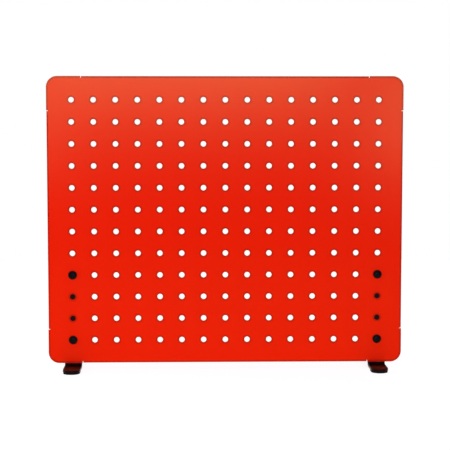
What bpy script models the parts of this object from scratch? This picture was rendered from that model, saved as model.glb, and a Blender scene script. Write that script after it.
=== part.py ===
"""A tabletop pegboard: a folded sheet-steel panel of round peg holes, held upright on two bolted strap feet.

Metres, +Z up. The board faces -Y and stands on the plane z = 0. The origin is on that plane, in the middle
of the object's width and depth. Each foot is two bent straps back to back: the front one turns under the
board into a short toe, and the rear one slopes down to the floor behind it. Two screws go through the peg
holes of an outer column and clamp both straps to the back of the sheet.
"""

import math

import bmesh
import bpy
from mathutils import Matrix, Vector

# Clearances and smoothness
GAP = 0.0003  # between two pieces that rest on each other
NEAR = 1e-5  # how close a point counts as on a line
WELD = 1e-6  # points closer than this are one
FLAT_ANGLE = 1e-3  # faces closer in direction than this are one flat
SHARP_ANGLE = math.radians(40)  # an edge sharper than this stays sharp in a smooth piece
SQUARE_ON = 0.9  # least share of a face's normal along an axis for the face to count as facing it
MARKER_SIZE = 0.01  # drawn size of the empties
ARC_STEPS = 6  # straight steps in a strap's bend
CORNER_STEPS = 5  # straight steps in a rounded corner
TURN_STEPS = 16  # sides of a turned piece

# The peg holes: one-inch centres, quarter-inch holes
PITCH = 0.0254
COLUMNS = 15
ROWS = 12
HOLE_RADIUS = 0.003175
HOLE_SIDES = 12

# The panel
PANEL_WIDTH = 0.413
PANEL_HEIGHT = 0.334
SHEET = 0.001
CORNER_RADIUS = 0.0127
TAB_LENGTH = 0.0395  # flat, unfolded length of each edge from a corner to the relief notch
TAB_PROUD = 0.0002  # how far the flat corners stand out past the folded edges
NOTCH_WIDTH = 0.0008
NOTCH_PAST_BEND = 0.0005  # how far a notch reaches into the flat sheet beyond the bend line
BEND_RADIUS = 0.0014  # outer radius of the folded edges
BEND_STEPS = 4
FLANGE_DEPTH = 0.015875  # from the front face to the free edge of a folded edge
BOARD_LIFT = 0.0075  # from the floor to the lower edge of the panel

# The strap feet
STRAP_WIDTH = 0.020
STRAP = 0.003
STRAP_BEND = 0.003  # inner radius of a strap's bends
STRAP_OVER_SCREW = 0.012  # from the upper screw to the straps' upper ends
STRAP_TOP_CORNER = 0.002
TIP_CORNER = 0.0095  # plan radius at the corners of the toes and of the rear feet
TOE_REACH = 0.0345  # from the panel's front face to the tip of a toe
REAR_REACH = 0.0885  # from the panel's front face to the end of a rear leg
LEG_BEND_Z = 0.025  # height at which a rear leg leaves the vertical
LEG_SLOPE = math.radians(17)
SCREW_HOLE_RADIUS = 0.00275
UPPER_SCREW_ROW = 9
LOWER_SCREW_ROW = 12

# The rubber pads
PAD = 0.0015
PAD_INSET = 0.0004
TOE_PAD_LENGTH = 0.027
REAR_PAD_LENGTH = 0.020

# The M5 fasteners
THREAD_RADIUS = 0.0025
SCREW_LENGTH = 0.016
SCREW_END_CHAMFER = 0.0005
HEAD_RADIUS = 0.005
HEAD_HEIGHT = 0.0037
HEAD_RIM = 0.001  # straight height of the head's edge below its dome
DOME_STEPS = 5
RECESS_SPAN = 0.0052
RECESS_SLOT = 0.0011
RECESS_DEPTH = 0.0018
WASHER_RADIUS = 0.005
WASHER = 0.001
NUT_FLATS = 0.008
NUT = 0.004
NUT_BORE_RADIUS = 0.0028
NUT_CHAMFER = 0.000125  # how far the rounding cuts into the flats and past the corners
NUT_CHAMFER_RISE = 0.0003

# Finishes: base colour, metallic, roughness, clear coat
RED_COAT = ((0.757, 0.004, 0.001), 0.0, 0.3, 0.15)
BLACK_COAT = ((0.008, 0.008, 0.009), 0.0, 0.42, 0.0)
BLACK_STEEL = ((0.012, 0.012, 0.013), 0.6, 0.4, 0.0)
BLACK_RUBBER = ((0.014, 0.014, 0.014), 0.0, 0.82, 0.0)

# Derived places
BOARD_Y = (TOE_REACH - REAR_REACH) / 2
GRID_Z = BOARD_LIFT + PANEL_HEIGHT / 2
STRAP_Y = SHEET + GAP
LEG_Y = STRAP_Y + STRAP + GAP
WASHER_Y = LEG_Y + STRAP + GAP
NUT_Y = WASHER_Y + WASHER + GAP
FOOT_Z = PAD + GAP
CUTTER_MARGIN = 0.002

# The column of peg holes that each foot is bolted to
FOOT_COLUMNS = {"left": 1, "right": COLUMNS}


def column_x(column):
    """X of a column of peg holes, the first being the leftmost."""
    return (column - (COLUMNS + 1) / 2) * PITCH


def row_z(row):
    """Height of a row of peg holes above the floor, the first being the uppermost."""
    return GRID_Z + ((ROWS + 1) / 2 - row) * PITCH


STRAP_TOP = row_z(UPPER_SCREW_ROW) + STRAP_OVER_SCREW


def clear_scene():
    for obj in list(bpy.data.objects):
        bpy.data.objects.remove(obj, do_unlink=True)


def new_collection(name):
    collection = bpy.data.collections.new(name)
    bpy.context.scene.collection.children.link(collection)
    return collection


def principled(name, colour, metallic, roughness, coat):
    """A material with one Principled BSDF."""
    material = bpy.data.materials.new(name)
    material.use_nodes = True
    shader = material.node_tree.nodes["Principled BSDF"]
    shader.inputs["Base Color"].default_value = (*colour, 1.0)
    shader.inputs["Metallic"].default_value = metallic
    shader.inputs["Roughness"].default_value = roughness
    shader.inputs["Coat Weight"].default_value = coat
    material.diffuse_color = (*colour, 1.0)
    return material


def arc(centre, radius, start, sweep, steps):
    """Points from angle start through sweep, both ends included."""
    angles = [start + sweep * k / steps for k in range(steps + 1)]
    return [(centre[0] + radius * math.cos(a), centre[1] + radius * math.sin(a)) for a in angles]


def mesh_from_outlines(name, outlines, thickness):
    """A welded mesh from closed 2D outlines. It is flat, or as thick as asked about the local XY plane."""
    curve = bpy.data.curves.new(name, "CURVE")
    curve.dimensions = "2D"
    curve.fill_mode = "BOTH" if thickness else "FRONT"
    curve.extrude = thickness / 2
    for outline in outlines:
        spline = curve.splines.new("POLY")
        spline.points.add(len(outline) - 1)
        for point, (x, y) in zip(spline.points, outline):
            point.co = (x, y, 0.0, 1.0)
        spline.use_cyclic_u = True
    guide = bpy.data.objects.new(name + "_outline", curve)
    bpy.context.scene.collection.objects.link(guide)
    evaluated = guide.evaluated_get(bpy.context.evaluated_depsgraph_get())
    mesh = bpy.data.meshes.new_from_object(evaluated)
    mesh.name = name
    bpy.data.objects.remove(guide, do_unlink=True)
    bpy.data.curves.remove(curve)
    shape = bmesh.new()
    shape.from_mesh(mesh)
    bmesh.ops.remove_doubles(shape, verts=shape.verts, dist=WELD)
    shape.to_mesh(mesh)
    shape.free()
    return mesh


def place(name, mesh, material, parent, location, rotation=(0.0, 0.0, 0.0)):
    """An object for one sub-part, in the parts collection."""
    obj = bpy.data.objects.new(name, mesh)
    if not mesh.materials:
        mesh.materials.append(material)
    obj.location = location
    obj.rotation_euler = rotation
    obj.parent = parent
    parts.objects.link(obj)
    return obj


def empty(name, parent, location):
    marker = bpy.data.objects.new(name, None)
    marker.empty_display_size = MARKER_SIZE
    marker.location = location
    marker.parent = parent
    parts.objects.link(marker)
    return marker


def cylinder_cutter(name, radius, length, sides):
    """A closed cylinder along Z, centred on its origin."""
    mesh = bpy.data.meshes.new(name)
    shape = bmesh.new()
    bmesh.ops.create_cone(
        shape,
        cap_ends=True,
        segments=sides,
        radius1=radius,
        radius2=radius,
        depth=length,
    )
    shape.to_mesh(mesh)
    shape.free()
    return add_cutter(name, mesh)


def add_cutter(name, mesh):
    cutter = bpy.data.objects.new(name, mesh)
    cutter.display_type = "WIRE"
    cutter.hide_render = True
    cutters.objects.link(cutter)
    return cutter


def boolean(obj, cutter, operation):
    modifier = obj.modifiers.new(cutter.name, "BOOLEAN")
    modifier.operation = operation
    modifier.solver = "EXACT"
    modifier.object = cutter


def equal_area_radius(radius, sides):
    """Corner radius of the polygon that has the area of a circle."""
    return radius * math.sqrt(2 * math.pi / (sides * math.sin(2 * math.pi / sides)))


# ---------------------------------------------------------------- panel


def panel_outline():
    """The flat of the sheet, counter-clockwise: rounded corner tabs, notches, and the bend lines between."""
    half_w = PANEL_WIDTH / 2
    half_h = PANEL_HEIGHT / 2
    corner_x = half_w - CORNER_RADIUS
    corner_z = half_h - CORNER_RADIUS
    tab_x = half_w - TAB_LENGTH
    tab_z = half_h - TAB_LENGTH
    bend_x = half_w - TAB_PROUD - BEND_RADIUS
    bend_z = half_h - TAB_PROUD - BEND_RADIUS
    right_notch = [
        (half_w, tab_z),
        (bend_x - NOTCH_PAST_BEND, tab_z),
        (bend_x - NOTCH_PAST_BEND, tab_z - NOTCH_WIDTH),
        (bend_x, tab_z - NOTCH_WIDTH),
    ]
    top_notch = [
        (tab_x - NOTCH_WIDTH, bend_z),
        (tab_x - NOTCH_WIDTH, bend_z - NOTCH_PAST_BEND),
        (tab_x, bend_z - NOTCH_PAST_BEND),
        (tab_x, half_h),
    ]
    corner = arc((corner_x, corner_z), CORNER_RADIUS, math.pi / 2, -math.pi / 2, CORNER_STEPS)
    clockwise = top_notch + corner + right_notch
    clockwise += [(x, -z) for x, z in reversed(clockwise)]
    clockwise += [(-x, z) for x, z in reversed(clockwise)]
    return clockwise[::-1]


def peg_hole(x, z):
    radius = equal_area_radius(HOLE_RADIUS, HOLE_SIDES)
    start = math.pi / HOLE_SIDES
    return arc((x, z), radius, start, 2 * math.pi, HOLE_SIDES)[:-1]


def fold_edge(shape, on_line, outward, depth_way):
    """Folds the straight boundary that on_line picks: a quarter turn towards depth_way, then a flat wall."""
    edges = [e for e in shape.edges if e.is_boundary and all(on_line(v.co) for v in e.verts)]
    centre = depth_way * BEND_RADIUS
    done = Vector((0.0, 0.0, 0.0))
    stops = []
    for k in range(1, BEND_STEPS + 1):
        angle = math.pi / 2 * k / BEND_STEPS
        stops.append(centre + outward * BEND_RADIUS * math.sin(angle) - centre * math.cos(angle))
    stops.append(outward * BEND_RADIUS + depth_way * FLANGE_DEPTH)
    for stop in stops:
        made = bmesh.ops.extrude_edge_only(shape, edges=edges)["geom"]
        edges = [g for g in made if isinstance(g, bmesh.types.BMEdge)]
        corners = [g for g in made if isinstance(g, bmesh.types.BMVert)]
        bmesh.ops.translate(shape, verts=corners, vec=stop - done)
        done = stop


def panel_mesh():
    """The outer skin of the sheet, facing local +Z: the perforated flat and its four folded edges."""
    holes = [
        peg_hole(column_x(column), row_z(row) - GRID_Z)
        for row in range(1, ROWS + 1)
        for column in range(1, COLUMNS + 1)
    ]
    mesh = mesh_from_outlines("pegboard_panel", [panel_outline(), *holes], 0.0)
    bend_x = PANEL_WIDTH / 2 - TAB_PROUD - BEND_RADIUS
    bend_z = PANEL_HEIGHT / 2 - TAB_PROUD - BEND_RADIUS
    back = Vector((0.0, 0.0, -1.0))
    shape = bmesh.new()
    shape.from_mesh(mesh)
    inner_edges = [e for e in shape.edges if not e.is_boundary]
    bmesh.ops.beautify_fill(shape, faces=shape.faces, edges=inner_edges, method="ANGLE")
    for sign in (1, -1):
        fold_edge(shape, lambda co: abs(co.x - sign * bend_x) < NEAR, Vector((sign, 0.0, 0.0)), back)
        fold_edge(shape, lambda co: abs(co.y - sign * bend_z) < NEAR, Vector((0.0, sign, 0.0)), back)
    bmesh.ops.recalc_face_normals(shape, faces=shape.faces)
    if next(f for f in shape.faces if abs(f.normal.z) > SQUARE_ON).normal.z < 0:
        bmesh.ops.reverse_faces(shape, faces=shape.faces)
    shape.to_mesh(mesh)
    shape.free()
    return mesh


def make_panel(parent):
    panel = place(
        "pegboard_panel",
        panel_mesh(),
        red_coat,
        parent,
        (0.0, BOARD_Y, GRID_Z),
        (math.pi / 2, 0.0, 0.0),
    )
    sheet = panel.modifiers.new("sheet", "SOLIDIFY")
    sheet.thickness = SHEET
    sheet.offset = -1.0
    sheet.use_even_offset = True


# ---------------------------------------------------------------- straps


def bent_outline(start, heading, moves):
    """Side outline of a bent strap. Each move is a straight length, then a left turn at the bends' radius."""
    middle_radius = STRAP_BEND + STRAP / 2
    at = Vector(start)
    left = []
    right = []

    def mark():
        normal = Vector((-math.sin(heading), math.cos(heading)))
        left.append(tuple(at + normal * STRAP / 2))
        right.append(tuple(at - normal * STRAP / 2))

    mark()
    for length, turn in moves:
        at = at + Vector((math.cos(heading), math.sin(heading))) * length
        mark()
        if not turn:
            continue
        side = math.copysign(1.0, turn)
        centre = at + Vector((-math.sin(heading), math.cos(heading))) * middle_radius * side
        for _ in range(ARC_STEPS):
            at = centre + Matrix.Rotation(turn / ARC_STEPS, 2) @ (at - centre)
            heading += turn / ARC_STEPS
            mark()
    return left + right[::-1]


def round_end(shape, on_end, radius):
    """Rounds the two corners of a strap's end, seen square to its broad face."""
    edges = [
        e
        for e in shape.edges
        if all(on_end(v.co) for v in e.verts) and e.verts[0].co.z * e.verts[1].co.z > 0
    ]
    bmesh.ops.bevel(
        shape,
        geom=edges,
        offset=radius,
        offset_type="OFFSET",
        segments=CORNER_STEPS,
        profile=0.5,
        affect="EDGES",
    )


def strap_mesh(name, outline, on_tip):
    """A strap from its side outline, local X backwards and local Y up, with rounded ends."""
    mesh = mesh_from_outlines(name, [outline], STRAP_WIDTH)
    shape = bmesh.new()
    shape.from_mesh(mesh)
    bmesh.ops.dissolve_limit(shape, angle_limit=FLAT_ANGLE, verts=shape.verts, edges=shape.edges)
    round_end(shape, lambda co: abs(co.y - STRAP_TOP) < NEAR, STRAP_TOP_CORNER)
    round_end(shape, on_tip, TIP_CORNER)
    bmesh.ops.recalc_face_normals(shape, faces=shape.faces)
    shape.to_mesh(mesh)
    shape.free()
    return mesh


def front_bracket_mesh():
    middle = STRAP_Y + STRAP / 2
    radius = STRAP_BEND + STRAP / 2
    drop = STRAP_TOP - FOOT_Z - STRAP / 2 - radius
    toe = middle - radius + TOE_REACH
    outline = bent_outline((middle, STRAP_TOP), -math.pi / 2, [(drop, -math.pi / 2), (toe, 0.0)])
    return strap_mesh("front_bracket", outline, lambda co: abs(co.x + TOE_REACH) < NEAR)


def rear_leg_mesh():
    middle = LEG_Y + STRAP / 2
    radius = STRAP_BEND + STRAP / 2
    slope = (LEG_BEND_Z - FOOT_Z - STRAP / 2 - radius) / math.sin(LEG_SLOPE)
    foot = REAR_REACH - middle - radius - slope * math.cos(LEG_SLOPE)
    moves = [
        (STRAP_TOP - LEG_BEND_Z, math.pi / 2 - LEG_SLOPE),
        (slope, LEG_SLOPE),
        (foot, 0.0),
    ]
    outline = bent_outline((middle, STRAP_TOP), -math.pi / 2, moves)
    return strap_mesh("rear_leg", outline, lambda co: abs(co.x - REAR_REACH) < NEAR)


def pad_mesh(name, length):
    """A thin pad with rounded corners, running back from its front edge. Its lower face is local z = 0."""
    half = STRAP_WIDTH / 2 - PAD_INSET
    radius = TIP_CORNER - PAD_INSET
    corner = arc((half - radius, length - radius), radius, 0.0, math.pi / 2, CORNER_STEPS)
    back = corner + [(-x, y) for x, y in reversed(corner)]
    outline = back + [(x, length - y) for x, y in reversed(back)]
    mesh = mesh_from_outlines(name, [outline], PAD)
    mesh.transform(Matrix.Translation((0.0, 0.0, PAD / 2)))
    return mesh


def make_foot(side, parent, meshes, screw_cutters):
    """One foot's straps and pads. Its parent stands on the floor, at the front face, under the outer column."""
    upright = (math.pi / 2, 0.0, math.pi / 2)
    origin = (0.0, 0.0, 0.0)
    bracket = place(side + "_front_bracket", meshes["bracket"], black_coat, parent, origin, upright)
    leg = place(side + "_rear_leg", meshes["leg"], black_coat, parent, origin, upright)
    for cutter in screw_cutters:
        boolean(bracket, cutter, "DIFFERENCE")
        boolean(leg, cutter, "DIFFERENCE")
    toe_pad_y = PAD_INSET - TOE_REACH
    rear_pad_y = REAR_REACH - PAD_INSET - REAR_PAD_LENGTH
    place(side + "_toe_pad", meshes["toe_pad"], rubber, parent, (0.0, toe_pad_y, 0.0))
    place(side + "_rear_pad", meshes["rear_pad"], rubber, parent, (0.0, rear_pad_y, 0.0))


# ---------------------------------------------------------------- fasteners


def turned_mesh(name, profile):
    """A closed solid turned about local Z from a profile of (radius, height), run down its outer side."""
    mesh = bpy.data.meshes.new(name + "_profile")
    shape = bmesh.new()
    points = [shape.verts.new((radius, 0.0, height)) for radius, height in profile]
    for first, second in zip(points, points[1:]):
        shape.edges.new((first, second))
    shape.to_mesh(mesh)
    shape.free()
    guide = bpy.data.objects.new(name + "_profile", mesh)
    bpy.context.scene.collection.objects.link(guide)
    spin = guide.modifiers.new("spin", "SCREW")
    spin.steps = TURN_STEPS
    spin.render_steps = TURN_STEPS
    spin.use_merge_vertices = True
    spin.merge_threshold = NEAR
    evaluated = guide.evaluated_get(bpy.context.evaluated_depsgraph_get())
    turned = bpy.data.meshes.new_from_object(evaluated)
    turned.name = name
    bpy.data.objects.remove(guide, do_unlink=True)
    bpy.data.meshes.remove(mesh)
    shape = bmesh.new()
    shape.from_mesh(turned)
    bmesh.ops.recalc_face_normals(shape, faces=shape.faces)
    shape.to_mesh(turned)
    shape.free()
    turned.shade_smooth()
    turned.set_sharp_from_angle(angle=SHARP_ANGLE)
    return turned


def screw_mesh():
    """A pan-head screw, its head's underside on the local XY plane and its shank down -Z."""
    rise = HEAD_HEIGHT - HEAD_RIM
    dome = [
        (HEAD_RADIUS * math.sin(a), HEAD_RIM + rise * math.cos(a))
        for a in [math.pi / 2 * k / DOME_STEPS for k in range(DOME_STEPS + 1)]
    ]
    shank = [
        (HEAD_RADIUS, 0.0),
        (THREAD_RADIUS, 0.0),
        (THREAD_RADIUS, SCREW_END_CHAMFER - SCREW_LENGTH),
        (THREAD_RADIUS - SCREW_END_CHAMFER, -SCREW_LENGTH),
        (0.0, -SCREW_LENGTH),
    ]
    return turned_mesh("pan_head_screw", dome + shank)


def recess_cutter():
    """The cross recess in a screw's head: two crossed slots."""
    mesh = bpy.data.meshes.new("cross_recess")
    shape = bmesh.new()
    height = RECESS_DEPTH + CUTTER_MARGIN
    middle = HEAD_HEIGHT - RECESS_DEPTH + height / 2
    made = bmesh.ops.create_cube(shape, size=1.0)
    bmesh.ops.scale(shape, verts=made["verts"], vec=(RECESS_SPAN, RECESS_SLOT, height))
    bmesh.ops.translate(shape, verts=shape.verts, vec=(0.0, 0.0, middle))
    shape.to_mesh(mesh)
    shape.free()
    slot = add_cutter("recess_slot", mesh)
    cross_slot = add_cutter("recess_cross_slot", mesh)
    cross_slot.rotation_euler = (0.0, 0.0, math.pi / 2)
    return slot, cross_slot


def washer_mesh():
    """A flat washer lying on the local XY plane."""
    profile = [
        (WASHER_RADIUS, WASHER),
        (WASHER_RADIUS, 0.0),
        (SCREW_HOLE_RADIUS, 0.0),
        (SCREW_HOLE_RADIUS, WASHER),
        (WASHER_RADIUS, WASHER),
    ]
    return turned_mesh("flat_washer", profile)


def nut_mesh():
    """A hexagon nut lying on the local XY plane, both ends chamfered."""
    across_corners = NUT_FLATS / math.cos(math.pi / 6)
    corners = arc((0.0, 0.0), across_corners / 2, 0.0, 2 * math.pi, 6)[:-1]
    bore = arc((0.0, 0.0), NUT_BORE_RADIUS, math.pi / TURN_STEPS, 2 * math.pi, TURN_STEPS)[:-1]
    mesh = mesh_from_outlines("hexagon_nut", [corners, bore], NUT)
    mesh.transform(Matrix.Translation((0.0, 0.0, NUT / 2)))
    return mesh


def nut_rounding_cutter():
    """A disc with coned rims: what it shares with a hexagon is a nut with chamfered corners."""
    widest = NUT_FLATS / math.cos(math.pi / 6) / 2 + NUT_CHAMFER
    rim = NUT_FLATS / 2 - NUT_CHAMFER
    rise = NUT_CHAMFER_RISE
    profile = [
        (0.0, NUT),
        (rim, NUT),
        (widest, NUT - rise),
        (widest, rise),
        (rim, 0.0),
        (0.0, 0.0),
    ]
    return add_cutter("nut_rounding", turned_mesh("nut_rounding", profile))


def finished(name, mesh, cutters_used, operation):
    """The mesh that Booleans with the cutters leave, for pieces that share it."""
    guide = bpy.data.objects.new(name, mesh)
    bpy.context.scene.collection.objects.link(guide)
    for cutter in cutters_used:
        boolean(guide, cutter, operation)
    evaluated = guide.evaluated_get(bpy.context.evaluated_depsgraph_get())
    cut = bpy.data.meshes.new_from_object(evaluated)
    cut.name = name
    bpy.data.objects.remove(guide, do_unlink=True)
    cut.shade_smooth()
    cut.set_sharp_from_angle(angle=SHARP_ANGLE)
    return cut


def make_fasteners(side, parent, meshes):
    """The screws, washers and nuts of one foot. Each turned piece's axis is local Z, laid along the depth."""
    head_forward = (math.pi / 2, 0.0, 0.0)
    end_backward = (-math.pi / 2, 0.0, 0.0)
    for level, row in (("upper", UPPER_SCREW_ROW), ("lower", LOWER_SCREW_ROW)):
        z = row_z(row)
        stem = side + "_" + level
        for kind, y, turned in (
            ("screw", -GAP, head_forward),
            ("washer", WASHER_Y, end_backward),
            ("nut", NUT_Y, end_backward),
        ):
            place(stem + "_" + kind, meshes[kind], black_steel, parent, (0.0, y, z), turned)


# ---------------------------------------------------------------- assembly

clear_scene()
parts = new_collection("tabletop_pegboard")
cutters = new_collection("cutters")

red_coat = principled("red_powder_coat", *RED_COAT)
black_coat = principled("black_powder_coat", *BLACK_COAT)
black_steel = principled("black_oxide_steel", *BLACK_STEEL)
rubber = principled("black_rubber", *BLACK_RUBBER)

board = empty("tabletop_pegboard_origin", None, (0.0, 0.0, 0.0))
make_panel(board)

shared = {
    "bracket": front_bracket_mesh(),
    "leg": rear_leg_mesh(),
    "toe_pad": pad_mesh("toe_pad", TOE_PAD_LENGTH),
    "rear_pad": pad_mesh("rear_pad", REAR_PAD_LENGTH),
    "screw": finished("pan_head_screw", screw_mesh(), recess_cutter(), "DIFFERENCE"),
    "washer": washer_mesh(),
    "nut": finished("hexagon_nut", nut_mesh(), [nut_rounding_cutter()], "INTERSECT"),
}

cut_length = WASHER_Y + CUTTER_MARGIN
for side_name, foot_column in FOOT_COLUMNS.items():
    foot = empty(side_name + "_foot_origin", board, (column_x(foot_column), BOARD_Y, 0.0))
    drills = []
    for screw_row in (UPPER_SCREW_ROW, LOWER_SCREW_ROW):
        drill = cylinder_cutter(f"{side_name}_drill_{screw_row}", SCREW_HOLE_RADIUS, cut_length, TURN_STEPS)
        drill.parent = foot
        drill.location = (0.0, cut_length / 2, row_z(screw_row))
        drill.rotation_euler = (math.pi / 2, 0.0, 0.0)
        drills.append(drill)
    make_foot(side_name, foot, shared, drills)
    make_fasteners(side_name, foot, shared)
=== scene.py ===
"""Looks for the tabletop pegboard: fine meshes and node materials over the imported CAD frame."""

import math

import bmesh
import bpy
from mathutils import Matrix, Vector


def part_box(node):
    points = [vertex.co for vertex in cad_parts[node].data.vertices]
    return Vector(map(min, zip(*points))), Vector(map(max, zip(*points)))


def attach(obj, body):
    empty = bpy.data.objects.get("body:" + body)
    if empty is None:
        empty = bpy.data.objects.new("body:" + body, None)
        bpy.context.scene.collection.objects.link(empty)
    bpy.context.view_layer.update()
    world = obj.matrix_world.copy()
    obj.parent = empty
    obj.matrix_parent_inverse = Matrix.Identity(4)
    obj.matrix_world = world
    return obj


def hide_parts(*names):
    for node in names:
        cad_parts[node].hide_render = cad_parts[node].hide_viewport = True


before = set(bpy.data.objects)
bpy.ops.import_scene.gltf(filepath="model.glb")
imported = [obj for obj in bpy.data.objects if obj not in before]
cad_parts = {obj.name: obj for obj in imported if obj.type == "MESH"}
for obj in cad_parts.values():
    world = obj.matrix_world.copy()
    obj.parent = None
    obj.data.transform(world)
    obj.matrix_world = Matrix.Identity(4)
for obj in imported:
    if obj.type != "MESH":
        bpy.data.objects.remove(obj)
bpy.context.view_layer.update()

# ---------------------------------------------------------------- dimensions shared with the CAD, in metres

GAP = 0.0003  # between two pieces that rest on each other
PITCH = 0.0254
COLUMNS = 15
ROWS = 12
SCREW_ROWS = (9, 12)
HOLE_RADIUS = 0.003175
SHEET = 0.001
CORNER_RADIUS = 0.0127
TAB_LENGTH = 0.0395  # flat, unfolded length of each edge from a corner to the relief notch
TAB_PROUD = 0.0002  # how far the flat corners stand out past the folded edges
NOTCH_WIDTH = 0.0008
NOTCH_PAST_BEND = 0.0005  # how far a notch reaches into the flat sheet beyond the bend line
BEND_RADIUS = 0.0014  # outer radius of the folded edges
STRAP_BEND = 0.003  # inner radius of a strap's bends
STRAP_TOP_CORNER = 0.002
TIP_CORNER = 0.0095  # plan radius at the corners of the toes and of the rear feet
LEG_SLOPE = math.radians(17)
LEG_BEND_Z = 0.025  # height at which a rear leg leaves the vertical
PAD_INSET = 0.0004
SCREW_HOLE_RADIUS = 0.00275
THREAD_RADIUS = 0.0025
HEAD_RADIUS = 0.005
HEAD_HEIGHT = 0.0037
HEAD_RIM = 0.001  # straight height of the head's edge below its dome
NUT_FLATS = 0.008
NUT_BORE_RADIUS = 0.0028

panel_low, panel_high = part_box("pegboard_panel")
BOARD_Y = panel_low.y
GRID_Z = (panel_low.z + panel_high.z) / 2
HALF_W = (panel_high.x - panel_low.x) / 2
HALF_H = (panel_high.z - panel_low.z) / 2
FLANGE_DEPTH = panel_high.y - panel_low.y


def column_x(column):
    return (column - (COLUMNS + 1) / 2) * PITCH


def row_z(row):
    return GRID_Z + ((ROWS + 1) / 2 - row) * PITCH


# ---------------------------------------------------------------- mesh helpers

NEAR = 1e-5  # how close a point counts as on a line
WELD = 1e-6  # points closer than this are one
SOFT_SEGMENTS = 3  # faces across a softened edge
FLAT_WEIGHT = 80  # how strongly the large faces set the shading at a softened edge


def arc(centre, radius, start, sweep, steps):
    angles = [start + sweep * k / steps for k in range(steps + 1)]
    return [(centre[0] + radius * math.cos(a), centre[1] + radius * math.sin(a)) for a in angles]


def add_piece(name, mesh, location=(0.0, 0.0, 0.0), rotation=(0.0, 0.0, 0.0)):
    obj = bpy.data.objects.new(name, mesh)
    obj.location = location
    obj.rotation_euler = rotation
    bpy.context.scene.collection.objects.link(obj)
    return obj


def plain_mesh(name, shape):
    """A mesh of the shape as it is. The shape is used up."""
    mesh = bpy.data.meshes.new(name)
    shape.to_mesh(mesh)
    shape.free()
    return mesh


def outward_mesh(name, shape):
    """A mesh of the shape with all its faces turned to point out. The shape is used up."""
    bmesh.ops.recalc_face_normals(shape, faces=shape.faces)
    return plain_mesh(name, shape)


def applied(obj):
    """Replaces an object's mesh by what its modifiers make of it."""
    evaluated = obj.evaluated_get(bpy.context.evaluated_depsgraph_get())
    mesh = bpy.data.meshes.new_from_object(evaluated)
    obj.modifiers.clear()
    obj.data = mesh
    return obj


def soften(obj, width, sharp):
    """Rounds every edge sharper than an angle in degrees, and keeps the flats shading flat."""
    bevel = obj.modifiers.new("soften", "BEVEL")
    bevel.width = width
    bevel.segments = SOFT_SEGMENTS
    bevel.limit_method = "ANGLE"
    bevel.angle_limit = math.radians(sharp)
    bevel.use_clamp_overlap = True
    applied(obj)
    obj.data.shade_smooth()
    weighted = obj.modifiers.new("weighted", "WEIGHTED_NORMAL")
    weighted.keep_sharp = False
    weighted.weight = FLAT_WEIGHT
    return applied(obj)


def shaded(obj, sharp):
    """Shades a piece smooth, apart from edges sharper than an angle in degrees."""
    obj.data.shade_smooth()
    obj.data.set_sharp_from_angle(angle=math.radians(sharp))
    return obj


def cut(obj, cutters):
    for cutter in cutters:
        modifier = obj.modifiers.new("cut", "BOOLEAN")
        modifier.operation = "DIFFERENCE"
        modifier.solver = "EXACT"
        modifier.object = cutter
    applied(obj)
    for cutter in cutters:
        bpy.data.objects.remove(cutter, do_unlink=True)
    return obj


def finish_piece(obj, material, slot, *nodes):
    obj.data.materials.clear()
    obj.data.materials.append(material)
    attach(obj, "root")
    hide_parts(*nodes)
    return obj


def lofted(name, rings, closed=False):
    """A surface through rings of points. A ring of one point is a pole; closed joins last to first."""
    shape = bmesh.new()
    made = [[shape.verts.new(p) for p in ring] for ring in rings]
    pairs = list(zip(made, made[1:]))
    if closed:
        pairs.append((made[-1], made[0]))
    for first, second in pairs:
        for k in range(max(len(first), len(second))):
            corners = [
                first[k % len(first)],
                first[(k + 1) % len(first)],
                second[(k + 1) % len(second)],
                second[k % len(second)],
            ]
            shape.faces.new(list(dict.fromkeys(corners)))
    return outward_mesh(name, shape)


def ring(radius, height, sides):
    """A ring about local Z. The radius is a number or a function of the angle."""
    points = []
    for k in range(sides):
        a = 2 * math.pi * k / sides
        r = radius(a) if callable(radius) else radius
        points.append((r * math.cos(a), r * math.sin(a), height))
    return points


def prism(outline, low, high):
    """A closed prism over an outline in the local XY plane, as a shape to be worked on."""
    shape = bmesh.new()
    face = shape.faces.new([shape.verts.new((x, y, low)) for x, y in outline])
    made = bmesh.ops.extrude_face_region(shape, geom=[face])["geom"]
    corners = [g for g in made if isinstance(g, bmesh.types.BMVert)]
    bmesh.ops.translate(shape, verts=corners, vec=(0.0, 0.0, high - low))
    return shape


# ---------------------------------------------------------------- material nodes

# A Mix node has sockets for every data type: these are its factor, its two colours and its mixed colour
MIX_FACTOR = 0
MIX_FIRST = 6
MIX_SECOND = 7
MIX_RESULT = 2

# Noise keeps mostly within this range
NOISE_LOW = 0.3
NOISE_HIGH = 0.7


def set_inputs(tree, target, values):
    """Fills a node's inputs, by name or number. Each value is a socket to link, a number, or a tuple."""
    for key, value in values.items():
        socket = target.inputs[key]
        if isinstance(value, bpy.types.NodeSocket):
            tree.links.new(value, socket)
        elif socket.type == "RGBA":
            socket.default_value = (*value, 1.0)
        else:
            socket.default_value = value


def node(tree, kind, values, **settings):
    made = tree.nodes.new(kind)
    for key, value in settings.items():
        setattr(made, key, value)
    set_inputs(tree, made, values)
    return made


def noise(tree, coords, scale, detail, roughness):
    values = {"Vector": coords, "Scale": scale, "Detail": detail, "Roughness": roughness}
    return node(tree, "ShaderNodeTexNoise", values).outputs["Fac"]


def ranged(tree, value, low, high, from_low=NOISE_LOW, from_high=NOISE_HIGH, curve="LINEAR"):
    values = {"Value": value, "From Min": from_low, "From Max": from_high, "To Min": low, "To Max": high}
    return node(tree, "ShaderNodeMapRange", values, interpolation_type=curve).outputs["Result"]


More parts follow.
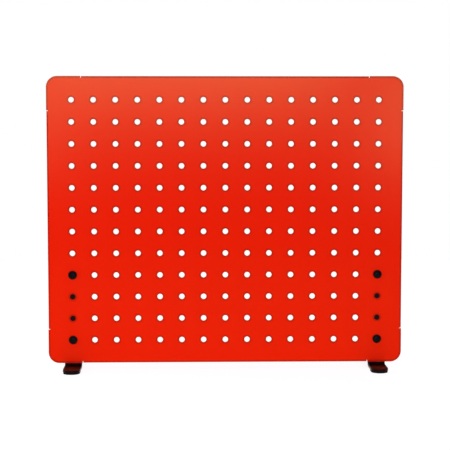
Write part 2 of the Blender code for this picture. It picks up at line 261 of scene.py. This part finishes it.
def faded(tree, value, full, none):
    """1 where the value is at or beyond full, 0 at or beyond none, with a smooth ramp between."""
    at_low = 1.0 if full < none else 0.0
    return ranged(tree, value, at_low, 1.0 - at_low, min(full, none), max(full, none), "SMOOTHSTEP")


def bumped(tree, height, strength, distance, under=None):
    """A bumped normal, on top of another one where that is given."""
    values = {"Height": height, "Strength": strength, "Distance": distance}
    if under is not None:
        values["Normal"] = under
    return node(tree, "ShaderNodeBump", values).outputs["Normal"]


def blended(tree, factor, first, second):
    """A mix of two colours, each a socket or three numbers."""
    values = {MIX_FACTOR: factor, MIX_FIRST: first, MIX_SECOND: second}
    return node(tree, "ShaderNodeMix", values, data_type="RGBA").outputs[MIX_RESULT]


def vector_math(tree, operation, *values):
    made = node(tree, "ShaderNodeVectorMath", dict(enumerate(values)), operation=operation)
    return made.outputs["Value" if operation == "LENGTH" else "Vector"]


def scalar_math(tree, operation, *values):
    return node(tree, "ShaderNodeMath", dict(enumerate(values)), operation=operation).outputs["Value"]


def new_material(name):
    material = bpy.data.materials.new(name)
    material.use_nodes = True
    tree = material.node_tree
    coords = node(tree, "ShaderNodeTexCoord", {}).outputs["Object"]
    return material, tree, tree.nodes["Principled BSDF"], coords


# ---------------------------------------------------------------- materials

# How far the darker band reaches from a punched hole and from the sheet's outline, in metres: painted shade
# at the cut edges, partly a thinner coat
RIM_FULL = 0.0010
RIM_FADE = 0.0020
EDGE_FULL = 0.0013
EDGE_FADE = 0.0020

GLOSS_SPREAD = 0.035  # how far the coat's roughness varies either way


def near_holes(tree, flat, across, along):
    """1 on the sheet close round every peg hole, else 0. The grid's cells are wrapped onto one cell."""
    half = PITCH / 2
    moved = vector_math(tree, "ADD", flat, (0.0, half, 0.0))
    wrapped = vector_math(tree, "WRAP", moved, (half, half, 1.0), (-half, -half, -1.0))
    from_hole = vector_math(tree, "LENGTH", wrapped)
    close = faded(tree, from_hole, HOLE_RADIUS + RIM_FULL, HOLE_RADIUS + RIM_FULL + RIM_FADE)
    in_columns = scalar_math(tree, "LESS_THAN", scalar_math(tree, "ABSOLUTE", across), COLUMNS * half)
    in_rows = scalar_math(tree, "LESS_THAN", scalar_math(tree, "ABSOLUTE", along), ROWS * half)
    in_grid = scalar_math(tree, "MULTIPLY", in_columns, in_rows)
    return scalar_math(tree, "MULTIPLY", close, in_grid)


def near_outline(tree, flat, height):
    """1 along the outline of the sheet's front, with its rounded corners, else 0."""
    corner = (HALF_W - CORNER_RADIUS, HALF_H - CORNER_RADIUS, 0.0)
    past = vector_math(tree, "SUBTRACT", vector_math(tree, "ABSOLUTE", flat), corner)
    past = vector_math(tree, "MAXIMUM", past, (0.0, 0.0, 0.0))
    from_corner = vector_math(tree, "LENGTH", past)
    full = CORNER_RADIUS - EDGE_FULL
    close = faded(tree, from_corner, full, full - EDGE_FADE)
    in_front = faded(tree, height, -BEND_RADIUS, -BEND_RADIUS - EDGE_FADE)
    return scalar_math(tree, "MULTIPLY", close, in_front)


def thin_coat_and_shade_mask(tree, coords):
    """1 along the cut edges, where shade is painted as a darker band that is partly a thinner coat, else 0.
    The panel's own X and Y run along it, Z out of its front.
    """
    parts = node(tree, "ShaderNodeSeparateXYZ", {"Vector": coords}).outputs
    flat = vector_math(tree, "MULTIPLY", coords, (1.0, 1.0, 0.0))
    holes = near_holes(tree, flat, parts["X"], parts["Y"])
    return scalar_math(tree, "MAXIMUM", holes, near_outline(tree, flat, parts["Z"]))


def powder_coat(name, colour, mottled, rough, peel, specular, tint, thin_coat_and_shade=None):
    """Sprayed and baked powder: an orange-peel skin with fine grain, slightly uneven in colour and gloss, and
    where given, painted shade along the cut edges.
    """
    material, tree, shader, coords = new_material(name)
    clouds = noise(tree, coords, scale=26.0, detail=3.0, roughness=0.55)
    grain = noise(tree, coords, scale=3400.0, detail=2.0, roughness=0.6)
    waves = noise(tree, coords, scale=420.0, detail=2.0, roughness=0.5)
    ripples = noise(tree, coords, scale=1250.0, detail=3.0, roughness=0.55)
    paint = blended(tree, ranged(tree, clouds, 0.0, 1.0), mottled, colour)
    # Painted shade: the coat darkens round every hole and along the outline, where the bends and hole edges
    # fall into shade; partly a thinner coat
    if thin_coat_and_shade is not None:
        paint = blended(tree, thin_coat_and_shade_mask(tree, coords), paint, thin_coat_and_shade)
    wavy = bumped(tree, waves, strength=peel, distance=0.00012)
    values = {
        "Base Color": paint,
        "Roughness": ranged(tree, grain, rough - GLOSS_SPREAD, rough + GLOSS_SPREAD),
        "Normal": bumped(tree, ripples, strength=0.7 * peel, distance=0.00004, under=wavy),
        "Specular IOR Level": specular,
        "Specular Tint": tint,
    }
    set_inputs(tree, shader, values)
    return material


def oxide_steel(name):
    """Blackened steel: a thin dark oxide over machined metal, a little brighter where it has been handled."""
    material, tree, shader, coords = new_material(name)
    patches = noise(tree, coords, scale=900.0, detail=4.0, roughness=0.6)
    grain = noise(tree, coords, scale=9000.0, detail=2.0, roughness=0.5)
    worn = ranged(tree, patches, 0.0, 1.0, from_low=0.35, from_high=0.8)
    values = {
        "Base Color": blended(tree, worn, (0.0022, 0.0016, 0.0016), (0.0065, 0.0055, 0.0052)),
        "Roughness": ranged(tree, patches, 0.3, 0.46),
        "Normal": bumped(tree, grain, strength=0.25, distance=0.00002),
        "Metallic": 0.3,
        "Specular IOR Level": 0.08,
    }
    set_inputs(tree, shader, values)
    return material


def moulded_rubber(name):
    """Moulded black rubber: matt, finely pitted, slightly greyed."""
    material, tree, shader, coords = new_material(name)
    dust = noise(tree, coords, scale=240.0, detail=4.0, roughness=0.6)
    pits = noise(tree, coords, scale=2600.0, detail=3.0, roughness=0.6)
    greyed = ranged(tree, dust, 0.0, 1.0)
    values = {
        "Base Color": blended(tree, greyed, (0.0034, 0.0026, 0.0026), (0.0065, 0.0052, 0.0052)),
        "Roughness": ranged(tree, dust, 0.72, 0.88),
        "Normal": bumped(tree, pits, strength=0.5, distance=0.00005),
        "Specular IOR Level": 0.12,
    }
    set_inputs(tree, shader, values)
    return material


RED = powder_coat(
    "red_powder_coat_fine",
    colour=(0.720, 0.0064, 0.0001),
    mottled=(0.704, 0.0058, 0.0001),
    rough=0.205,
    peel=0.16,
    specular=0.10,
    tint=(1.0, 1.0, 0.25),
    # painted shade round the holes and along the outline, partly a thinner coat
    thin_coat_and_shade=(0.460, 0.0054, 0.0001),
)
BLACK = powder_coat(
    "black_powder_coat_fine",
    colour=(0.0056, 0.0014, 0.0018),
    mottled=(0.0042, 0.0011, 0.0014),
    rough=0.32,
    peel=0.3,
    specular=0.07,
    tint=(1.0, 0.65, 0.6),
)
OXIDE = oxide_steel("black_oxide_steel_fine")
RUBBER = moulded_rubber("black_rubber_fine")


# ---------------------------------------------------------------- panel

HOLE_SIDES = 40
HOLE_BAND = 1.3  # outer radius of the narrow ring of faces round a hole, over the hole's own
BEND_STEPS = 8
CORNER_STEPS = 14
NOTCH_STEPS = 8
PANEL_SOFT = 0.00026
SQUARE_ON = 0.9  # least share of a face's normal along an axis for the face to count as facing it


def quarter_outline():
    """A quarter of the flat's edge, clockwise from the top bend line round the corner to the side one."""
    tab_x = HALF_W - TAB_LENGTH
    tab_z = HALF_H - TAB_LENGTH
    bend_x = HALF_W - TAB_PROUD - BEND_RADIUS
    bend_z = HALF_H - TAB_PROUD - BEND_RADIUS
    root = NOTCH_WIDTH / 2
    deep_x = bend_x - NOTCH_PAST_BEND + root
    deep_z = bend_z - NOTCH_PAST_BEND + root
    quarter = math.pi / 2
    top_notch = [(tab_x - NOTCH_WIDTH, bend_z)]
    top_notch += arc((tab_x - root, deep_z), root, math.pi, math.pi, NOTCH_STEPS)
    top_notch += [(tab_x, HALF_H)]
    corner_centre = (HALF_W - CORNER_RADIUS, HALF_H - CORNER_RADIUS)
    corner = arc(corner_centre, CORNER_RADIUS, quarter, -quarter, CORNER_STEPS)
    side_notch = [(HALF_W, tab_z)]
    side_notch += arc((deep_x, tab_z - root), root, quarter, math.pi, NOTCH_STEPS)
    side_notch += [(bend_x, tab_z - NOTCH_WIDTH)]
    return top_notch + corner + side_notch


def flat_outline():
    clockwise = quarter_outline()
    clockwise += [(x, -z) for x, z in reversed(clockwise)]
    clockwise += [(-x, z) for x, z in reversed(clockwise)]
    return clockwise[::-1]


def add_cell(shape, x, z):
    """The square of sheet round one hole, as radial quads in two bands."""
    per_side = HOLE_SIDES // 4
    half = PITCH / 2
    square = []
    for k in range(HOLE_SIDES):
        side, step = divmod(k, per_side)
        t = -half + PITCH * step / per_side
        square.append([(half, t), (-t, half), (-half, -t), (t, -half)][side])
    angles = [-math.pi / 4 + 2 * math.pi * k / HOLE_SIDES for k in range(HOLE_SIDES)]
    loops = [
        [shape.verts.new((x + r * math.cos(a), z + r * math.sin(a), 0.0)) for a in angles]
        for r in (HOLE_RADIUS, HOLE_RADIUS * HOLE_BAND)
    ]
    loops.append([shape.verts.new((x + u, z + v, 0.0)) for u, v in square])
    for inner, outer in zip(loops, loops[1:]):
        for k in range(HOLE_SIDES):
            n = (k + 1) % HOLE_SIDES
            shape.faces.new((inner[k], outer[k], outer[n], inner[n]))


def on_grid_border(edge):
    """Whether an edge lies along the outer border of the block of cells."""
    return any(
        all(abs(v.co[axis]) > count / 2 * PITCH - NEAR for v in edge.verts)
        for axis, count in ((0, COLUMNS), (1, ROWS))
    )


def flat_sheet():
    """The flat sheet's front skin, facing local +Z: a cell round each hole, and a margin to the outline."""
    shape = bmesh.new()
    for row in range(1, ROWS + 1):
        for column in range(1, COLUMNS + 1):
            add_cell(shape, column_x(column), row_z(row) - GRID_Z)
    bmesh.ops.remove_doubles(shape, verts=shape.verts, dist=WELD)
    inner = [e for e in shape.edges if e.is_boundary and on_grid_border(e)]
    corners = [shape.verts.new((x, z, 0.0)) for x, z in flat_outline()]
    outer = [shape.edges.new(ends) for ends in zip(corners, corners[1:] + corners[:1])]
    bmesh.ops.triangle_fill(shape, use_beauty=True, use_dissolve=False, edges=inner + outer)
    for face in shape.faces:
        face.normal_update()
        if face.normal.z < 0:
            face.normal_flip()
    return shape


def fold(shape, axis, sign):
    """Folds one straight edge of the skin back: a quarter turn, then a flat wall."""
    limit = (HALF_W if axis == 0 else HALF_H) - TAB_PROUD - BEND_RADIUS
    edges = [
        e
        for e in shape.edges
        if e.is_boundary and all(abs(v.co[axis] - sign * limit) < NEAR for v in e.verts)
    ]
    outward = Vector((sign, 0.0, 0.0)) if axis == 0 else Vector((0.0, sign, 0.0))
    back = Vector((0.0, 0.0, -1.0))
    stops = []
    for k in range(1, BEND_STEPS + 1):
        a = math.pi / 2 * k / BEND_STEPS
        stops.append(outward * BEND_RADIUS * math.sin(a) + back * BEND_RADIUS * (1 - math.cos(a)))
    stops.append(outward * BEND_RADIUS + back * FLANGE_DEPTH)
    done = Vector((0.0, 0.0, 0.0))
    for stop in stops:
        made = bmesh.ops.extrude_edge_only(shape, edges=edges)["geom"]
        edges = [g for g in made if isinstance(g, bmesh.types.BMEdge)]
        corners = [g for g in made if isinstance(g, bmesh.types.BMVert)]
        bmesh.ops.translate(shape, verts=corners, vec=stop - done)
        done = stop


def panel_piece():
    """The sheet with its four edges folded back, given its thickness, stood upright and softened."""
    shape = flat_sheet()
    for sign in (1, -1):
        fold(shape, 0, sign)
        fold(shape, 1, sign)
    bmesh.ops.recalc_face_normals(shape, faces=shape.faces)
    widest = max(shape.faces, key=lambda f: f.calc_area() if abs(f.normal.z) > SQUARE_ON else 0.0)
    if widest.normal.z < 0:
        bmesh.ops.reverse_faces(shape, faces=shape.faces)
    mesh = plain_mesh("perforated_panel", shape)
    panel = add_piece("perforated_panel", mesh, (0.0, BOARD_Y, GRID_Z), (math.pi / 2, 0.0, 0.0))
    sheet = panel.modifiers.new("sheet", "SOLIDIFY")
    sheet.thickness = SHEET
    sheet.offset = -1.0
    sheet.use_even_offset = True
    applied(panel)
    soften(panel, PANEL_SOFT, sharp=50)
    return finish_piece(panel, RED, "red_powder_coat", "pegboard_panel")


# ---------------------------------------------------------------- straps and pads

STRAP_STEPS = 20  # straight steps in a quarter bend of a strap
LEAST_STEPS = 6  # and the fewest in any bend
END_STEPS = 10  # straight steps in a rounded end's corner
DRILL_SIDES = 40
DRILL_LENGTH = 0.04
STRAP_SOFT = 0.0004
PAD_SOFT = 0.0003


def bent_outline(start, heading, moves, thickness):
    """The side outline of a bar along straight runs, each given with the turn that follows it."""
    middle = STRAP_BEND + thickness / 2
    at = Vector(start)
    left = []
    right = []

    def mark():
        normal = Vector((-math.sin(heading), math.cos(heading)))
        left.append(tuple(at + normal * thickness / 2))
        right.append(tuple(at - normal * thickness / 2))

    mark()
    for length, turn in moves:
        at = at + Vector((math.cos(heading), math.sin(heading))) * length
        mark()
        if not turn:
            continue
        side = math.copysign(1.0, turn)
        centre = at + Vector((-math.sin(heading), math.cos(heading))) * middle * side
        steps = max(LEAST_STEPS, round(STRAP_STEPS * abs(turn) / (math.pi / 2)))
        for _ in range(steps):
            at = centre + Matrix.Rotation(turn / steps, 2) @ (at - centre)
            heading += turn / steps
            mark()
    return left + right[::-1]


def round_end(shape, axis, place, radius):
    """Rounds both corners of a bar's end, which lies at a place along an axis."""
    edges = [
        e
        for e in shape.edges
        if all(abs(v.co[axis] - place) < NEAR for v in e.verts) and e.verts[0].co.z * e.verts[1].co.z > 0
    ]
    bmesh.ops.bevel(
        shape,
        geom=edges,
        offset=radius,
        offset_type="OFFSET",
        segments=END_STEPS,
        profile=0.5,
        affect="EDGES",
    )


def drill(x, z):
    """A cutter along Y for a screw hole."""
    shape = bmesh.new()
    bmesh.ops.create_cone(
        shape,
        cap_ends=True,
        segments=DRILL_SIDES,
        radius1=SCREW_HOLE_RADIUS,
        radius2=SCREW_HOLE_RADIUS,
        depth=DRILL_LENGTH,
    )
    return add_piece("drill", plain_mesh("drill", shape), (x, BOARD_Y, z), (math.pi / 2, 0.0, 0.0))


def strap_piece(name, outline, width, x, top, tip_y):
    """A bent, drilled bar with rounded ends. Its own X, Y and Z are the world's Y, Z and X."""
    shape = prism(outline, -width / 2, width / 2)
    round_end(shape, 1, top, STRAP_TOP_CORNER)
    round_end(shape, 0, tip_y, TIP_CORNER)
    strap = add_piece(name, outward_mesh(name, shape), (x, 0.0, 0.0), (math.pi / 2, 0.0, math.pi / 2))
    cut(strap, [drill(x, row_z(row)) for row in SCREW_ROWS])
    return soften(strap, STRAP_SOFT, sharp=40)


def pad_piece(name, low, high):
    """A self-adhesive rubber pad with rounded ends and softened edges."""
    radius = TIP_CORNER - PAD_INSET
    reach_x = (high.x - low.x) / 2 - radius
    reach_y = (high.y - low.y) / 2 - radius
    quarter = math.pi / 2
    outline = []
    for turn, (side_x, side_y) in enumerate(((1, 1), (-1, 1), (-1, -1), (1, -1))):
        outline += arc((side_x * reach_x, side_y * reach_y), radius, turn * quarter, quarter, END_STEPS)
    centre = ((low.x + high.x) / 2, (low.y + high.y) / 2, low.z)
    pad = add_piece(name, outward_mesh(name, prism(outline, 0.0, high.z - low.z)), centre)
    return soften(pad, PAD_SOFT, sharp=50)


def foot_pieces(side):
    """A front bracket, the rear leg behind it, and a rubber pad under each."""
    bracket_low, bracket_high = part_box(side + "_front_bracket")
    leg_low, leg_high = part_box(side + "_rear_leg")
    washer_low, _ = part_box(side + "_upper_washer")
    # The rear leg fills the space from the bracket to the washer, less a gap at each face
    thickness = (washer_low.y - GAP) - (bracket_high.y + GAP)
    width = bracket_high.x - bracket_low.x
    x = (bracket_low.x + bracket_high.x) / 2
    top = bracket_high.z
    foot_z = bracket_low.z
    bend = STRAP_BEND + thickness / 2
    down = -math.pi / 2

    middle = bracket_high.y - thickness / 2
    drop = top - foot_z - thickness / 2 - bend
    toe = middle - bend - bracket_low.y
    outline = bent_outline((middle, top), down, [(drop, down), (toe, 0.0)], thickness)
    bracket = strap_piece(side + "_toe_strap", outline, width, x, top, bracket_low.y)
    finish_piece(bracket, BLACK, "black_powder_coat", side + "_front_bracket")

    middle = leg_low.y + thickness / 2
    slope = (LEG_BEND_Z - foot_z - thickness / 2 - bend) / math.sin(LEG_SLOPE)
    foot = leg_high.y - middle - bend - slope * math.cos(LEG_SLOPE)
    moves = [(top - LEG_BEND_Z, -down - LEG_SLOPE), (slope, LEG_SLOPE), (foot, 0.0)]
    outline = bent_outline((middle, top), down, moves, thickness)
    leg = strap_piece(side + "_back_strap", outline, width, x, top, leg_high.y)
    finish_piece(leg, BLACK, "black_powder_coat", side + "_rear_leg")

    for place in ("toe", "rear"):
        node_name = side + "_" + place + "_pad"
        pad = pad_piece(side + "_" + place + "_rubber", *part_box(node_name))
        finish_piece(pad, RUBBER, "black_rubber", node_name)


# ---------------------------------------------------------------- fasteners

SCREW_SIDES = 48
DOME_STEPS = 12
HEAD_EDGE = 0.0003  # rounding of the head's lower edge
HEAD_EDGE_CUT = 0.00008
NECK = 0.0002  # height of the fillet under the head, and how far outside the thread it starts
NECK_CUT = 0.0001  # how far inside the thread it ends
SPIN_STEP = 17  # degrees between the angles at which the screws' recesses have stopped
SPINS = 4

# A recess blade's length, its width, and its height over the head's crown, at its upper and its lower end
RECESS_UPPER = (0.0056, 0.0012, 0.0004)
RECESS_LOWER = (0.0026, 0.0008, -0.0022)

THREAD_PITCH = 0.0008
THREAD_DEPTH = 0.00045
THREAD_RINGS = 8  # rings of points in one turn
THREAD_CREST = 0.12  # share of the pitch that is flat crest
THREAD_FLANK = 0.76  # share of the pitch that is flank, both sides together
THREAD_SLACK = 0.00003  # how far the crests keep inside the CAD's plain shank
THREAD_START = 0.0012  # plain length under the head
THREAD_STOP = 0.00005  # from the thread's last ring to the end face
END_LENGTH = 0.0006  # length of the taper at the end
END_SLOPE = 0.9
END_CUT = 0.0011  # how far the end face's rim lies inside the thread's radius

WASHER_SIDES = 56
WASHER_EDGE = 0.0002  # rounding of a washer's rim
WASHER_EDGE_CUT = 0.00006
WASHER_BORE_EDGE = 0.00015

NUT_SIDES = 96
NUT_FACE = 0.985  # radius of a nut's round face over half its width across flats
NUT_CHAMFER = math.radians(30)
NUT_CHAMFER_HEIGHT = 0.0005
NUT_CHAMFER_STEP = 0.00008
NUT_CHAMFER_RINGS = 6
NUT_BORE_EDGE = 0.0003


def recess_blade(turn):
    """One of the two crossed blades that cut a screw's recess, wide at the crown and narrow below."""
    shape = bmesh.new()
    bmesh.ops.create_cube(shape, size=1.0)
    for vert in shape.verts:
        length, width, height = RECESS_UPPER if vert.co.z > 0 else RECESS_LOWER
        vert.co = (vert.co.x * length, vert.co.y * width, HEAD_HEIGHT + height)
    mesh = plain_mesh("recess", shape)
    mesh.transform(Matrix.Rotation(turn, 4, "Z"))
    return mesh


def thread_radius(z, fade, taper):
    """The thread's radius at a height, as a function of the angle."""

    def radius(a):
        phase = (-z / THREAD_PITCH + a / (2 * math.pi)) % 1.0
        valley = min(1.0, max(0.0, (abs(phase - 0.5) * 2 - THREAD_CREST) / THREAD_FLANK))
        return THREAD_RADIUS - THREAD_SLACK - THREAD_DEPTH * valley * fade - taper

    return radius


def head_rings():
    """The head's rings, from its crown down to the start of the shank."""
    rings = [[(0.0, 0.0, HEAD_HEIGHT)]]
    for k in range(1, DOME_STEPS + 1):
        a = math.pi / 2 * k / DOME_STEPS
        height = HEAD_RIM + (HEAD_HEIGHT - HEAD_RIM) * math.cos(a)
        rings.append(ring(HEAD_RADIUS * math.sin(a), height, SCREW_SIDES))
    profile = (
        (HEAD_RADIUS, HEAD_EDGE),
        (HEAD_RADIUS - HEAD_EDGE_CUT, HEAD_EDGE_CUT),
        (HEAD_RADIUS - HEAD_EDGE, 0.0),
        (THREAD_RADIUS + NECK, 0.0),
        (THREAD_RADIUS - NECK_CUT, -NECK),
    )
    return rings + [ring(radius, height, SCREW_SIDES) for radius, height in profile]


def shank_rings(length):
    """The threaded shank's rings, down to the middle of its end."""
    rings = []
    steps = round((length - THREAD_START) / THREAD_PITCH * THREAD_RINGS)
    for k in range(steps + 1):
        z = -THREAD_START - (length - THREAD_START - THREAD_STOP) * k / steps
        fade = min(1.0, k / THREAD_RINGS)
        taper = max(0.0, END_LENGTH - (length + z)) * END_SLOPE
        rings.append(ring(thread_radius(z, fade, taper), z, SCREW_SIDES))
    rings.append(ring(THREAD_RADIUS - END_CUT, -length, SCREW_SIDES))
    rings.append([(0.0, 0.0, -length)])
    return rings


def screw_piece(name, low, high):
    """A pan-head screw with a cross recess and a rolled thread. Its axis is local Z, its head upwards."""
    length = (high.y - low.y) - HEAD_HEIGHT
    centre = ((low.x + high.x) / 2, low.y + HEAD_HEIGHT, (low.z + high.z) / 2)
    turned = (math.pi / 2, 0.0, 0.0)
    screw = add_piece(name, lofted(name, head_rings() + shank_rings(length)), centre, turned)
    spin = math.radians(SPIN_STEP * (1 + len(name) % SPINS))
    blades = [recess_blade(turn + spin) for turn in (0.0, math.pi / 2)]
    cut(screw, [add_piece("recess", blade, centre, turned) for blade in blades])
    return shaded(screw, sharp=38)


def turned_piece(name, loops, low, high):
    """A ring-shaped piece through rings of points, from its front face back."""
    centre = ((low.x + high.x) / 2, low.y, (low.z + high.z) / 2)
    return add_piece(name, lofted(name, loops, closed=True), centre, (-math.pi / 2, 0.0, 0.0))


def washer_piece(name, low, high):
    """A punched flat washer with broken edges."""
    thickness = high.y - low.y
    outer = (high.x - low.x) / 2
    profile = (
        (outer - WASHER_EDGE, thickness),
        (outer - WASHER_EDGE_CUT, thickness - WASHER_EDGE_CUT),
        (outer, thickness - WASHER_EDGE),
        (outer, WASHER_EDGE),
        (outer - WASHER_EDGE_CUT, WASHER_EDGE_CUT),
        (outer - WASHER_EDGE, 0.0),
        (SCREW_HOLE_RADIUS + WASHER_BORE_EDGE, 0.0),
        (SCREW_HOLE_RADIUS, WASHER_BORE_EDGE),
        (SCREW_HOLE_RADIUS, thickness - WASHER_BORE_EDGE),
        (SCREW_HOLE_RADIUS + WASHER_BORE_EDGE, thickness),
    )
    loops = [ring(radius, height, WASHER_SIDES) for radius, height in profile]
    return shaded(turned_piece(name, loops, low, high), sharp=50)


def hexagon(limit):
    """A nut's radius as a function of the angle, cut down to a limit where a chamfer crosses its corners."""
    sixth = math.pi / 3

    def radius(a):
        return min(NUT_FLATS / 2 / math.cos(a % sixth - sixth / 2), limit)

    return radius


def nut_piece(name, low, high):
    """A hexagon nut whose chamfered corners leave the curved lines that turning gives them."""
    thickness = high.y - low.y
    flat = NUT_FLATS / 2
    whole = hexagon(flat / math.cos(math.pi / 6))
    heights = [NUT_CHAMFER_STEP * k for k in range(NUT_CHAMFER_RINGS)]
    chamfer = [(hexagon(flat * NUT_FACE + h / math.tan(NUT_CHAMFER)), h) for h in heights]
    chamfer.append((whole, NUT_CHAMFER_HEIGHT))
    profile = chamfer + [(radius, thickness - h) for radius, h in reversed(chamfer)]
    profile += [
        (NUT_BORE_RADIUS + NUT_BORE_EDGE, thickness),
        (NUT_BORE_RADIUS, thickness - NUT_BORE_EDGE),
        (NUT_BORE_RADIUS, NUT_BORE_EDGE),
        (NUT_BORE_RADIUS + NUT_BORE_EDGE, 0.0),
    ]
    loops = [ring(radius, height, NUT_SIDES) for radius, height in profile]
    return shaded(turned_piece(name, loops, low, high), sharp=24)


def fastener_pieces(side):
    """The screw, washer and nut at each of a foot's two screw holes."""
    for level in ("upper", "lower"):
        for kind, make, shape in (
            ("screw", screw_piece, "pan_head_screw"),
            ("washer", washer_piece, "flat_washer"),
            ("nut", nut_piece, "hex_nut"),
        ):
            stem = side + "_" + level + "_"
            piece = make(stem + shape, *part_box(stem + kind))
            finish_piece(piece, OXIDE, "black_oxide_steel", stem + kind)


# ---------------------------------------------------------------- stage

WHITE = (1.0, 1.0, 1.0)
COOL = (1.0, 1.0, 1.75)

# name, azimuth and elevation from the board's middle in degrees, distance, width, height, watts, colour,
# seen in gloss
LIGHTS = (
    ("strip_left", -14.5, 4.5, 2.0, 0.25, 0.30, 2.2, COOL, True),
    ("strip_middle", -1.0, 7.8, 2.0, 0.80, 0.18, 10.2, COOL, True),
    ("strip_right", 17.0, 4.2, 2.0, 0.28, 0.30, 4.0, COOL, True),
    ("top_softbox", -25.0, 72.0, 1.8, 2.2, 1.6, 13.0, WHITE, True),
    ("front_fill", -68.0, 4.0, 1.2, 1.0, 0.8, 6.4, WHITE, False),
    ("back_softbox", 170.0, 30.0, 2.6, 2.0, 1.2, 20.0, WHITE, True),
)

# The world's strength as the camera sees it, as it lights surfaces, and as gloss reflects it
WORLD_SEEN = 1.0
WORLD_DIFFUSE = 0.12
WORLD_GLOSSY = 0.06

FLOOR_RADIUS = 1.2
FLOOR_SIDES = 96
FLOOR_DROP = 0.0002  # keeps the floor clear of the pads' lower faces
FLOOR_GREY = (0.28, 0.28, 0.28)
FLOOR_GLOW = 0.86  # emission, which keeps the floor white

MIDDLE = Vector((0.0, BOARD_Y, GRID_Z))  # of the board's front face
CAMERA_OFFSET = Vector((-0.0401, -1.544, 0.1222))  # from the middle
CAMERA_FORWARD = Vector((0.0256, 0.9963, -0.0823))
CAMERA_RANGE = (0.05, 20.0)
SENSOR_WIDTH = 36.0  # millimetres, as the focal length is
FOCAL_LENGTH = 106.58


def add_floor():
    """A round, pale, slightly glowing floor."""
    shape = bmesh.new()
    bmesh.ops.create_circle(shape, cap_ends=True, radius=FLOOR_RADIUS, segments=FLOOR_SIDES)
    floor = add_piece("floor", outward_mesh("floor", shape), (0.0, 0.0, -FLOOR_DROP))
    paint = bpy.data.materials.new("floor_white")
    paint.use_nodes = True
    values = {
        "Base Color": FLOOR_GREY,
        "Roughness": 0.9,
        "Specular IOR Level": 0.1,
        "Emission Color": WHITE,
        "Emission Strength": FLOOR_GLOW,
    }
    set_inputs(paint.node_tree, paint.node_tree.nodes["Principled BSDF"], values)
    floor.data.materials.append(paint)


def add_world():
    """A white world, bright to the camera and dim in light and gloss."""
    world = bpy.data.worlds.new("studio")
    bpy.context.scene.world = world
    world.use_nodes = True
    tree = world.node_tree
    rays = node(tree, "ShaderNodeLightPath", {}).outputs
    level = WORLD_DIFFUSE
    for kind, value in (("Is Glossy Ray", WORLD_GLOSSY), ("Is Camera Ray", WORLD_SEEN)):
        level = node(tree, "ShaderNodeMix", {"Factor": rays[kind], "A": level, "B": value}).outputs["Result"]
    set_inputs(tree, tree.nodes["Background"], {"Color": WHITE, "Strength": level})


def add_light(name, azimuth, elevation, distance, width, height, power, colour, glossy):
    """A soft rectangular light, aimed at the board's middle."""
    light = bpy.data.lights.new(name, "AREA")
    light.shape = "RECTANGLE"
    light.size = width
    light.size_y = height
    light.energy = power
    light.color = colour
    turn = math.radians(azimuth)
    lift = math.radians(elevation)
    way = Vector((math.sin(turn) * math.cos(lift), -math.cos(turn) * math.cos(lift), math.sin(lift)))
    obj = add_piece(name, light, MIDDLE + way * distance, (-way).to_track_quat("-Z", "Y").to_euler())
    obj.visible_glossy = glossy


def add_camera():
    camera = bpy.data.cameras.new("camera")
    camera.sensor_width = SENSOR_WIDTH
    camera.lens = FOCAL_LENGTH
    camera.clip_start, camera.clip_end = CAMERA_RANGE
    facing = CAMERA_FORWARD.to_track_quat("-Z", "Y").to_euler()
    bpy.context.scene.camera = add_piece("camera", camera, MIDDLE + CAMERA_OFFSET, facing)


panel_piece()
for side_name in ("left", "right"):
    foot_pieces(side_name)
    fastener_pieces(side_name)
add_floor()
add_world()
for light_row in LIGHTS:
    add_light(*light_row)
add_camera()
bpy.context.scene.view_settings.view_transform = "Standard"
